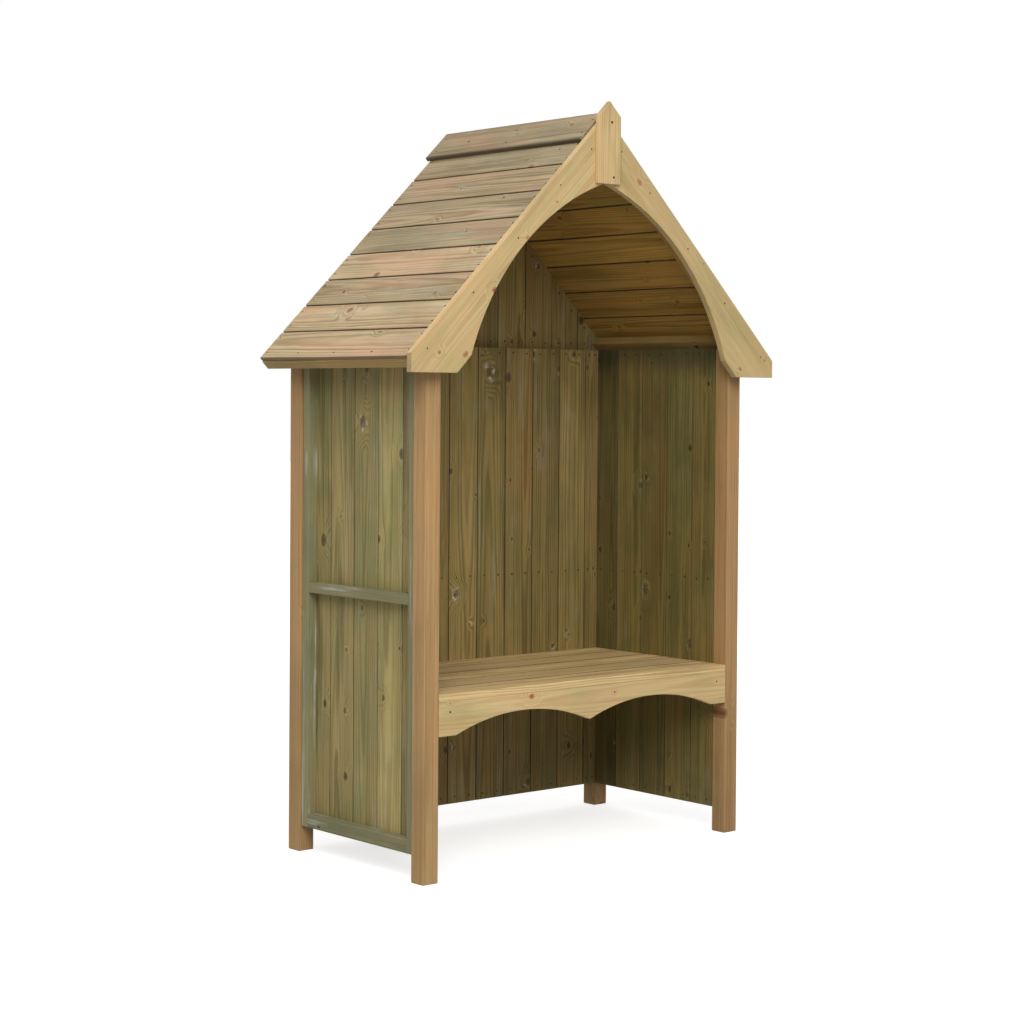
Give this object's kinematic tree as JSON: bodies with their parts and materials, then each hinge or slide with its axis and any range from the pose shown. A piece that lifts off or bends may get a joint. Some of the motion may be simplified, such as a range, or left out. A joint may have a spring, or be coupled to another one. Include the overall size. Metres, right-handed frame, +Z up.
{
  "type": "garden arbour with a bench seat",
  "caption": "Free-standing timber garden arbour: boarded sides and back, pitched boarded roof, pointed arch of curved bargeboards with a finial, and a slatted bench seat with a scalloped apron",
  "frame": {"origin": "centre of the footprint of the whole arbour's box, on the ground under the posts", "axes": "+Z up, +X to the right seen from the open front, the front faces -Y"},
  "size_m": [1.328, 0.702, 2.054],
  "materials": {
    "post_timber": "orange-tan treated softwood with ring and knot marks, eased edges",
    "wall_boards": "olive-green treated softwood boards with knots and dark joints",
    "wall_battens": "grey-green treated softwood battens",
    "seat_boards": "pale grey-green tan planed softwood",
    "front_trim": "pale yellow-tan planed softwood with red-brown knots",
    "roof_boards": "tan to grey-tan softwood boards",
    "roof_battens": "plain treated softwood battens"
  },
  "bodies": {
    "root": {"post_front_left": "post_timber", "post_front_right": "post_timber", "post_rear_left": "post_timber", "post_rear_right": "post_timber", "side_boards_left": "wall_boards", "side_boards_right": "wall_boards", "back_boards": "wall_boards", "side_stiles_left": "wall_battens", "side_stiles_right": "wall_battens", "side_rails_left": "wall_battens", "side_rails_right": "wall_battens", "back_stiles": "wall_battens", "back_rails": "wall_battens", "seat_board_1": "seat_boards", "seat_board_2": "seat_boards", "seat_board_3": "seat_boards", "seat_board_4": "seat_boards", "seat_board_5": "seat_boards", "seat_apron": "front_trim", "seat_bearer_left": "roof_battens", "seat_bearer_right": "roof_battens", "seat_bearer_back": "roof_battens", "seat_bearer_centre": "roof_battens", "gable_boards": "wall_boards", "gable_rail": "wall_battens", "roof_boards_left": "roof_boards", "roof_boards_right": "roof_boards", "rafters_left": "roof_battens", "rafters_right": "roof_battens", "eave_rail_left": "roof_battens", "eave_rail_right": "roof_battens", "bearing_rail_left": "roof_battens", "bearing_rail_right": "roof_battens", "ridge_rail_left": "roof_battens", "ridge_rail_right": "roof_battens", "ridge_cap_left": "roof_boards", "ridge_cap_right": "roof_boards", "bargeboard_left": "front_trim", "bargeboard_right": "front_trim", "finial": "front_trim"}
  },
  "joints": []
}
